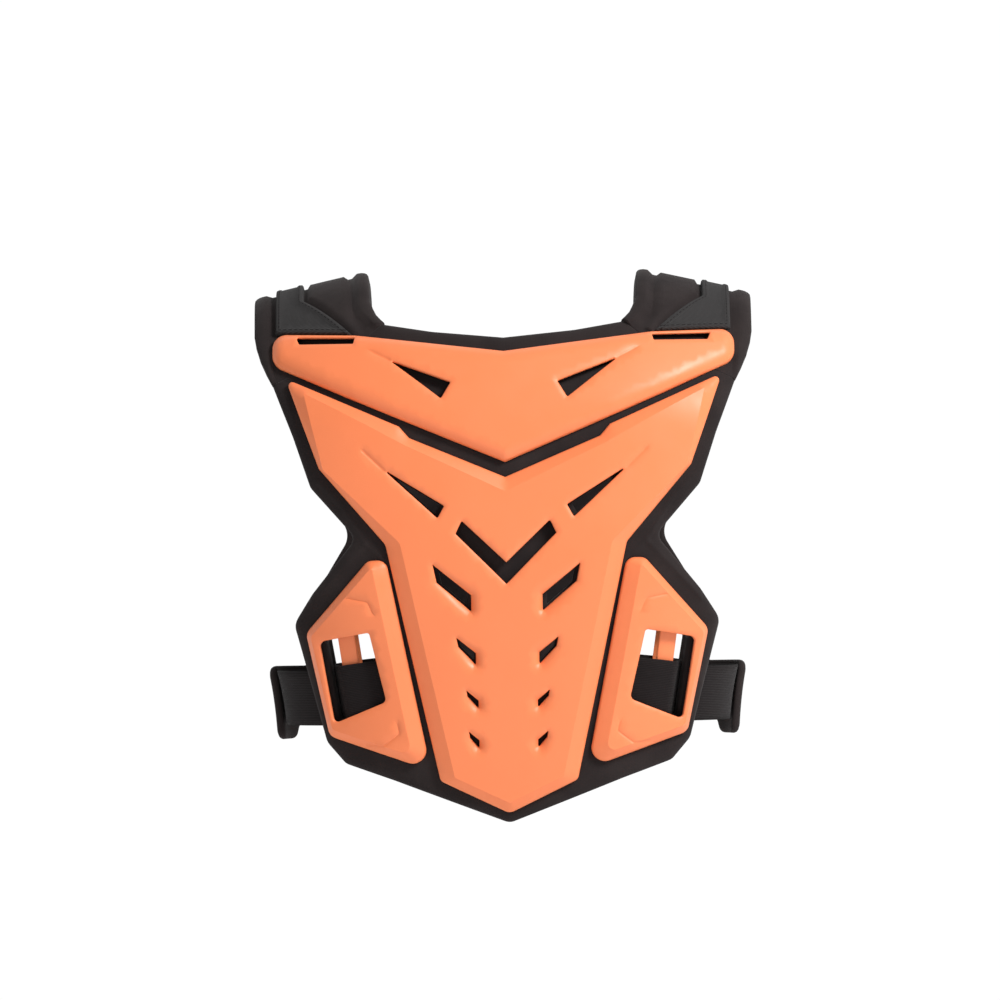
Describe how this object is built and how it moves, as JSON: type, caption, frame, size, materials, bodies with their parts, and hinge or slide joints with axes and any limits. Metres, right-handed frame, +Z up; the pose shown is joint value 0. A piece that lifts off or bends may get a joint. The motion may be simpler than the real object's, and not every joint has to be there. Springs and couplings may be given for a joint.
{
  "type": "motorcycle armour vest",
  "caption": "Sleeveless armour vest: black foam back and chest panels with orange moulded plates, joined over the shoulders by padded pieces and round the flanks by elastic straps",
  "frame": {"origin": "the mount shoulder_seat, midway between the shoulders, level with the tops of the shoulder pads", "axes": "+X is the wearer's right, +Y is the way the wearer faces, so the back panel is at -Y, and +Z is up"},
  "size_m": [0.3686, 0.2514, 0.406],
  "materials": {
    "orange_plastic": "satin moulded",
    "black_foam": "matt knit over foam",
    "black_webbing": "ribbed elastic",
    "grey_webbing": "woven stretch strap"
  },
  "bodies": {
    "root": {"back_pad": "black_foam", "front_pad": "black_foam", "back_yoke_plate": "orange_plastic", "back_spine_plate": "orange_plastic", "front_chest_plate": "orange_plastic", "shoulder_pad_left": "black_foam", "shoulder_strap_left": "grey_webbing", "side_strap_left": "black_webbing", "back_side_plate_left": "orange_plastic", "back_strap_bar_left": "orange_plastic", "front_side_plate_left": "orange_plastic", "front_strap_bar_left": "orange_plastic", "shoulder_pad_right": "black_foam", "shoulder_strap_right": "grey_webbing", "side_strap_right": "black_webbing", "back_side_plate_right": "orange_plastic", "back_strap_bar_right": "orange_plastic", "front_side_plate_right": "orange_plastic", "front_strap_bar_right": "orange_plastic"}
  },
  "joints": []
}
